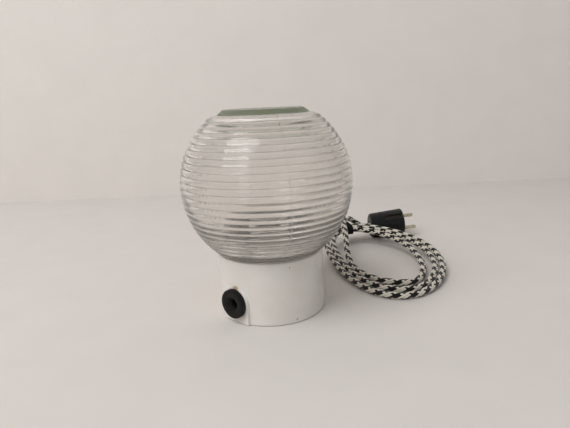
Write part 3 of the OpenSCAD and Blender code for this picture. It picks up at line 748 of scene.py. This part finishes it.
def globeProfile():
    s = globeSetup
    neck, lip, foot, shoulder = s["neckRadius"], s["lipRadius"], s["neckFoot"], s["shoulder"]
    corners = [
        (s["neckInside"], foot, 1.2), (neck, foot, 1), (neck, shoulder, 0.5), (lip, shoulder, 0.5),
        (lip, s["lipTop"], 0.4),
    ]
    rib = ribProfile()
    for k in range(s["ribs"][0], s["ribs"][1] + 1):
        a = math.radians(k * s["ribPitch"])
        for along, out in rib:
            r = (s["radius"] + out) * math.cos(a) - along * math.sin(a)
            corners.append((r, s["centre"] + (s["radius"] + out) * math.sin(a) + along * math.cos(a)))
    corners += s["topOutside"] + s["topInside"]
    inner = s["radius"] - s["glass"]
    for lat in range(*s["insideLatitudes"]):
        a = math.radians(lat)
        corners.append((inner * math.cos(a), s["centre"] + inner * math.sin(a)))
    return corners + s["lipInside"]


def makeGlobe():
    s = globeSetup
    shape = bmesh.new()
    outline(shape, globeProfile(), False)
    ends = [v for v in shape.verts if len(v.link_edges) == 1]
    middle = Vector((0, 0, mm(s["centre"])))
    shape.edges.new([v for v in ends if v.co.z < middle.z])
    for vert in ends:
        if vert.co.z > middle.z:
            vert.co.x = 0
    cutRows(shape, lambda e: all(abs(v.co.x - mm(s["neckRadius"])) < 1e-6 for v in e.verts), s["neckRow"])
    turn(shape, [(360, s["steps"])])
    seamWay = math.radians(s["seam"])
    seamSide = Vector((math.cos(seamWay), math.sin(seamWay), 0))  # square to the seam's plane
    for off in (-s["seamHalf"], 0, s["seamHalf"]):
        bmesh.ops.bisect_plane(
            shape, geom=shape.verts[:] + shape.edges[:] + shape.faces[:], dist=mm(0.002),
            plane_co=seamSide * mm(off), plane_no=seamSide,
        )
    for vert in shape.verts:
        p = vert.co
        r = math.hypot(p.x, p.y)
        if r < 1e-5:
            continue
        out = Vector((p.x / r, p.y / r, 0))
        ball = (p - middle).length
        if p.z < mm(s["neckTop"]) and abs(r - mm(s["neckRadius"])) < mm(0.01):
            wave = math.cos(math.tau * p.z / mm(s["threadPitch"]) - math.atan2(p.y, p.x))
            begin, end = p.z - mm(s["threadFrom"]), mm(s["threadTo"]) - p.z
            fade = ease(begin / mm(s["threadFade"])) * ease(end / mm(s["threadFade"]))
            vert.co += out * mm(s["threadHeight"]) * ease(wave * 0.9 + 0.1) * fade
        elif ball > mm(s["radius"] - 2) and mm(s["seamZone"][0]) < p.z < mm(s["seamZone"][1]):
            if abs(p.dot(seamSide)) < mm(0.05):
                vert.co += (p - middle).normalized() * mm(s["seamHeight"])
        elif mm(s["unevenZone"][0]) < p.z < mm(s["unevenZone"][1]) and ball < mm(s["radius"] - 3):
            vert.co += out * mm(s["uneven"]) * noise.noise(p * s["unevenScale"])
    return finishPiece(shape, "glassGlobe", pressedGlass(), "globe", ("glass_globe",), 25)


globe = makeGlobe()
print("globe made,", len(globe.data.polygons), "faces")


# Base: glazed porcelain with a flat arched pad round each cable entry

baseSetup = {
    "radius": 50,
    "height": 58.5,
    "padHalf": 15.5,
    "entryHeight": 19,
    "entryRadius": 10,
    "entryPlace": 47,  # middle and length of the cut through the wall
    "entryCut": 24,
    "padBlend": 1.5,
    "padFrom": 45,  # the pads are outside this radius and below this height
    "padTop": 40,
    "padSector": (48, 96),  # degrees and steps of the finer sector round a pad, and of the one between pads
    "plainSector": (132, 44),
    "row": 0.6,
    "chamber": 40,
    "floorTop": 13,
    "floorUnder": 6,
    "collar": 42.8,
    "collarFoot": 41,
    "footInside": 42,
    "wallScrews": (2.75, 31),  # hole radius and distance from the axis
    "holderScrews": (2.15, 25.8),
    "floorCut": 20,  # length of the cuts through the floor
    "white": "DDD8D1",
    "shade": "D1CAC1",
    "specks": [((43.8, -24.1, 53.5), 0.75, "3F3B38"), ((46.2, -19.1, 3.7), 1.5, "A39B93")],
    "stain": ((1.5, -50, 33.0), 4.2, "A58A66"),
}


def glazedPorcelain():
    # Slip-cast porcelain under a clear glaze: warm white, glassy, faintly uneven, with a few firing marks
    s = baseSetup
    material, tree, shader = newMaterial("glazed porcelain", {"IOR": 1.52})
    spot = addNode(tree, "TexCoord").outputs["Object"]
    cloud = addNode(tree, "TexNoise", {"Scale": 1 / mm(28), "Detail": 3}, {"Vector": spot})
    amount = addNode(tree, "MapRange", {1: 0.35, 2: 0.75, 3: 0, 4: 0.6}, {0: cloud})
    tint = addNode(
        tree, "Mix", {"data_type": "RGBA", 6: linear(s["white"]), 7: linear(s["shade"])}, {0: amount},
    )
    ragged = addNode(tree, "TexNoise", {"Scale": 1 / mm(1.3), "Detail": 4}, {"Vector": spot})
    for place, size, colour in s["specks"] + [s["stain"]]:
        away = addNode(
            tree, "VectorMath", {"operation": "DISTANCE", 1: [mm(c) for c in place]}, {0: spot}
        ).outputs["Value"]
        edge = addNode(tree, "Math", {"operation": "MULTIPLY_ADD", 1: mm(size) * 0.9}, {0: ragged, 2: away})
        mark = addNode(
            tree, "MapRange",
            {"interpolation_type": "SMOOTHSTEP", 1: mm(size) * 0.75, 2: mm(size) * 1.45, 3: 0.85, 4: 0},
            {0: edge},
        )
        tint = addNode(tree, "Mix", {"data_type": "RGBA", 7: linear(colour)}, {0: mark, 6: tint.outputs[2]})
    tree.links.new(tint.outputs[2], shader.inputs["Base Color"])
    rough = addNode(tree, "MapRange", {1: 0.3, 2: 0.7, 3: 0.14, 4: 0.26}, {0: cloud})
    tree.links.new(rough.outputs[0], shader.inputs["Roughness"])
    ripple = addNode(tree, "TexNoise", {"Scale": 1 / mm(11), "Detail": 2}, {"Vector": spot})
    bump = addNode(tree, "Bump", {"Strength": 0.12, "Distance": mm(0.5)}, {"Height": ripple})
    tree.links.new(bump.outputs[0], shader.inputs["Normal"])
    return material


def raisePads(shape):
    s = baseSetup
    for vert in shape.verts:
        p = vert.co * 1000
        r = math.hypot(p.x, p.y)
        if r < s["padFrom"] or p.z > s["padTop"] or abs(p.y) < 1:
            continue
        x = s["radius"] * p.x / abs(p.y)
        over = max(0, p.z - s["entryHeight"])
        inside = s["padHalf"] - math.hypot(x, over)
        raised = ease(inside / s["padBlend"] + 0.5)
        if raised > 0:
            flat = math.hypot(x, s["radius"]) / s["radius"]
            vert.co.x *= 1 + (flat - 1) * raised
            vert.co.y *= 1 + (flat - 1) * raised


def cutHoles(piece):
    s = baseSetup
    cutter = bmesh.new()
    deep = s["floorCut"]
    holes = []
    for side in (-1, 1):
        holes.append((s["entryRadius"], s["entryCut"], (0, side * s["entryPlace"], s["entryHeight"]), "X"))
    for angle in (math.pi / 4, math.pi * 1.25):
        radius, away = s["wallScrews"]
        holes.append((radius, deep, (away * math.cos(angle), away * math.sin(angle), deep / 2), None))
    for side in (-1, 1):
        radius, away = s["holderScrews"]
        holes.append((radius, deep, (side * away, 0, deep / 2), None))
    for radius, depth, place, axis in holes:
        made = bmesh.ops.create_cone(
            cutter, cap_ends=True, segments=64, radius1=mm(radius), radius2=mm(radius), depth=mm(depth),
        )
        if axis:
            bmesh.ops.rotate(cutter, verts=made["verts"], matrix=Matrix.Rotation(math.pi / 2, 3, axis))
        bmesh.ops.translate(cutter, verts=made["verts"], vec=[mm(c) for c in place])
    mesh = bpy.data.meshes.new("entryCutter")
    cutter.to_mesh(mesh)
    cutter.free()
    tool = bpy.data.objects.new("entryCutter", mesh)
    scene.collection.objects.link(tool)
    cut = piece.modifiers.new("entries", "BOOLEAN")
    cut.operation, cut.solver, cut.object = "DIFFERENCE", "EXACT", tool
    done = bpy.data.meshes.new_from_object(piece.evaluated_get(bpy.context.evaluated_depsgraph_get()))
    piece.modifiers.clear()
    piece.data = done
    bpy.data.objects.remove(tool)


def makeBase(material):
    s = baseSetup
    shape = bmesh.new()
    floor, under, foot = s["floorTop"], s["floorUnder"], s["footInside"]
    outline(shape, [
        (0, floor), (s["chamber"], floor, 2), (s["chamber"], s["collarFoot"], 0.8),
        (s["collar"], s["collarFoot"], 0.8), (s["collar"], s["height"], 1), (s["radius"], s["height"], 1.5),
        (s["radius"], 0, 1.5), (foot, 0, 1), (foot, under, 1.5), (0, under),
    ], False)
    cutRows(shape, lambda e: all(v.co.x > mm(s["radius"] - 0.1) for v in e.verts), s["row"])
    start = math.radians(-90 - s["padSector"][0] / 2)
    bmesh.ops.rotate(shape, verts=shape.verts, matrix=Matrix.Rotation(start, 3, "Z"))
    turn(shape, [s["padSector"], s["plainSector"]] * 2)
    raisePads(shape)
    bmesh.ops.recalc_face_normals(shape, faces=shape.faces)
    piece = finishPiece(shape, "porcelainBase", material, "base", ("porcelain_base",), 40)
    cutHoles(piece)
    return piece


porcelain = glazedPorcelain()
base = makeBase(porcelain)
print("base made,", len(base.data.polygons), "faces")


# Rubber grommets in both entries

grommetSetup = {
    "corners": [
        (3.7, -11, 0.3), (10.8, -11, 0.5), (10.8, -8.5, 0.3), (9.75, -8.4), (9.75, 0), (13.5, 0.02, 0.5),
        (13.5, 5, 1.3), (9.2, 5, 0.8), (6.5, 4.3, 0.9), (3.7, 1, 0.6),
    ],
    "steps": 96,
    "brown": "0B0806",
    "grey": "1A1613",
}


def agedRubber(name, plain, bloomed):
    # Old moulded rubber: dull, with a bloom of another shade in patches
    material, tree, shader = newMaterial(name, {"Specular IOR Level": 0.3})
    spot = addNode(tree, "TexCoord").outputs["Object"]
    bloom = addNode(tree, "TexNoise", {"Scale": 1 / mm(5), "Detail": 6, "Roughness": 0.6}, {"Vector": spot})
    amount = addNode(tree, "MapRange", {1: 0.42, 2: 0.75, 3: 0, 4: 0.8}, {0: bloom})
    tint = addNode(tree, "Mix", {"data_type": "RGBA", 6: linear(plain), 7: linear(bloomed)}, {0: amount})
    tree.links.new(tint.outputs[2], shader.inputs["Base Color"])
    rough = addNode(tree, "MapRange", {1: 0.3, 2: 0.7, 3: 0.5, 4: 0.75}, {0: bloom})
    tree.links.new(rough.outputs[0], shader.inputs["Roughness"])
    grain = addNode(tree, "TexNoise", {"Scale": 1 / mm(0.8), "Detail": 3}, {"Vector": spot})
    bump = addNode(tree, "Bump", {"Strength": 0.2, "Distance": mm(0.2)}, {"Height": grain})
    tree.links.new(bump.outputs[0], shader.inputs["Normal"])
    return material


def makeGrommets(material):
    s = baseSetup
    for name, node, heading in (("frontGrommet", "front_grommet", 180), ("rearGrommet", "rear_grommet", 0)):
        shape = bmesh.new()
        outline(shape, grommetSetup["corners"], True)
        turn(shape, [(360, grommetSetup["steps"])])
        seat = (
            Matrix.Rotation(math.radians(heading), 4, "Z")
            @ Matrix.Translation((0, mm(s["radius"]), mm(s["entryHeight"])))
            @ Matrix.Rotation(-math.pi / 2, 4, "X")
        )
        bmesh.ops.transform(shape, matrix=seat, verts=shape.verts)
        bmesh.ops.recalc_face_normals(shape, faces=shape.faces)
        finishPiece(shape, name, material, "base", (node,), 50)


makeGrommets(agedRubber("aged rubber", grommetSetup["brown"], grommetSetup["grey"]))
print("grommets made")


# Finishes of the CAD nodes that stay: lampholder, seal ring, contacts, wires, clamp, screws and pins

metalSetup = {  # bright and dull colour, roughness, size of the patches in mm, nodes
    "drawn brass": ("A8863F", "6E5527", 0.28, 3, ("screw_shell", "live_terminal", "neutral_terminal")),
    "spring bronze": ("A06A3C", "6B4424", 0.3, 3, ("centre_contact",)),
    "zinc-plated steel": (
        "A9ABAB", "77797A", 0.35, 2,
        (
            "terminal_screws", "lampholder_screws", "lampholder_nuts", "cord_clamp", "clamp_screws",
            "plug_screw",
        ),
    ),
    "nickel-plated brass": ("D9CFB9", "A99B80", 0.42, 4, ("plug_pins",)),
}
sealSetup = {"light": "A8A196", "dark": "8E877D"}
plasticSetup = {
    "brown insulation": ("4A2A18", "3A2012", ("live_wire",)),
    "blue insulation": ("2B4E8C", "223F73", ("neutral_wire",)),
}


def dress(names, material):
    for name in names:
        slots = nodes[name].data.materials
        slots.clear()
        slots.append(material)


def wornMetal(name, bright, dull, rough, grain):
    # Plated or drawn metal: bright where handled, duller and rougher in patches
    material, tree, shader = newMaterial(name, {"Metallic": 1})
    spot = addNode(tree, "TexCoord").outputs["Object"]
    patch = addNode(
        tree, "TexNoise", {"Scale": 1 / mm(grain), "Detail": 5, "Roughness": 0.6}, {"Vector": spot},
    )
    amount = addNode(tree, "MapRange", {1: 0.4, 2: 0.75, 3: 0, 4: 0.9}, {0: patch})
    tint = addNode(tree, "Mix", {"data_type": "RGBA", 6: linear(bright), 7: linear(dull)}, {0: amount})
    tree.links.new(tint.outputs[2], shader.inputs["Base Color"])
    spread = addNode(tree, "MapRange", {1: 0.3, 2: 0.75, 3: rough * 0.8, 4: rough * 1.5}, {0: patch})
    tree.links.new(spread.outputs[0], shader.inputs["Roughness"])
    return material


def softInsulation(name, bright, dull):
    # Extruded PVC insulation: even colour with a soft shine
    material, tree, shader = newMaterial(name, {"Roughness": 0.45})
    spot = addNode(tree, "TexCoord").outputs["Object"]
    patch = addNode(tree, "TexNoise", {"Scale": 1 / mm(4), "Detail": 3}, {"Vector": spot})
    tint = addNode(tree, "Mix", {"data_type": "RGBA", 6: linear(bright), 7: linear(dull)}, {0: patch})
    tree.links.new(tint.outputs[2], shader.inputs["Base Color"])
    return material


for name, (bright, dull, rough, grain, names) in metalSetup.items():
    dress(names, wornMetal(name, bright, dull, rough, grain))
for name, (bright, dull, names) in plasticSetup.items():
    dress(names, softInsulation(name, bright, dull))
dress(["lampholder_body"], porcelain)
dress(["seal_ring"], agedRubber("grey rubber", sealSetup["light"], sealSetup["dark"]))
print("CAD nodes dressed")


# Stage: pale floor and wall, a window to the left of the camera and soft room light

stageSetup = {
    "floor": "D0C9C3",
    "wall": "DFD8D1",
    "wallPoint": (-0.54, 0.3),  # on the line where wall and floor meet
    "wallHeading": 40.7,
    "size": 3,  # half the width of floor and wall, and how far up the wall's middle is
    "wallMiddle": 2.9,
    "room": "F7FBFF",
    "roomLevel": 0.48,
    "viewTurn": 43,  # the lights are placed as seen from the camera
    "lights": [
        ("daylight", (-1.3, -1.0, 2.15), (0, 0, 0.1), (1.65, 1.65), 48, "FCFDFF", False),
        ("window", (-0.85, -1.5, 1.15), (0, 0, 0.12), (0.5, 1.6), 2.2, "FCFDFF", True),
    ],
}


def paintedSurface(name, colour, openBehind):
    # Matt paint: even, with the faintest mottling
    material, tree, shader = newMaterial(name, {"Roughness": 0.7, "Specular IOR Level": 0.2})
    spot = addNode(tree, "TexCoord").outputs["Object"]
    mottle = addNode(tree, "TexNoise", {"Scale": 1 / mm(60), "Detail": 3}, {"Vector": spot})
    spread = addNode(tree, "MapRange", {1: 0.3, 2: 0.7, 3: 0.985, 4: 1.015}, {0: mottle})
    paint = addNode(tree, "VectorMath", {"operation": "SCALE", 0: linear(colour)[:3]}, {3: spread})
    tree.links.new(paint.outputs[0], shader.inputs["Base Color"])
    if openBehind:  # a view from behind the wall looks through it
        back = addNode(tree, "NewGeometry").outputs["Backfacing"]
        seen = addNode(tree, "LightPath").outputs["Is Camera Ray"]
        through = addNode(tree, "Math", {"operation": "MULTIPLY"}, {0: back, 1: seen})
        clear = addNode(tree, "BsdfTransparent")
        mixed = addNode(tree, "MixShader", links={0: through, 1: shader, 2: clear})
        tree.links.new(mixed.outputs[0], tree.nodes["Material Output"].inputs["Surface"])
    return material


def makeStage():
    s = stageSetup
    for name in ("floor", "wall"):
        shape = bmesh.new()
        bmesh.ops.create_grid(shape, x_segments=1, y_segments=1, size=s["size"])
        if name == "wall":
            bmesh.ops.rotate(shape, verts=shape.verts, matrix=Matrix.Rotation(math.pi / 2, 3, "X"))
            heading = Matrix.Rotation(math.radians(s["wallHeading"]), 3, "Z")
            bmesh.ops.rotate(shape, verts=shape.verts, matrix=heading)
            bmesh.ops.translate(shape, verts=shape.verts, vec=(*s["wallPoint"], s["wallMiddle"]))
        mesh = bpy.data.meshes.new(name)
        shape.to_mesh(mesh)
        shape.free()
        mesh.materials.append(paintedSurface("matt paint on the " + name, s[name], name == "wall"))
        sheet = bpy.data.objects.new(name, mesh)
        scene.collection.objects.link(sheet)
    turned = Matrix.Rotation(math.radians(s["viewTurn"]), 3, "Z")
    for name, place, aim, size, power, colour, mirrored in s["lights"]:
        lamp = bpy.data.lights.new(name, "AREA")
        lamp.shape = "RECTANGLE"
        lamp.size, lamp.size_y = size
        lamp.energy = power
        lamp.color = linear(colour)[:3]
        holder = bpy.data.objects.new(name, lamp)
        holder.location = turned @ Vector(place)
        holder.visible_glossy = mirrored  # only the window shows in the gloss
        holder.rotation_euler = (turned @ (Vector(aim) - Vector(place))).to_track_quat("-Z", "Y").to_euler()
        scene.collection.objects.link(holder)
    world = bpy.data.worlds.new("room")
    world.use_nodes = True
    sky = world.node_tree.nodes["Background"]
    sky.inputs["Color"].default_value = linear(s["room"])
    sky.inputs["Strength"].default_value = s["roomLevel"]
    scene.world = world


makeStage()
print("stage lit")
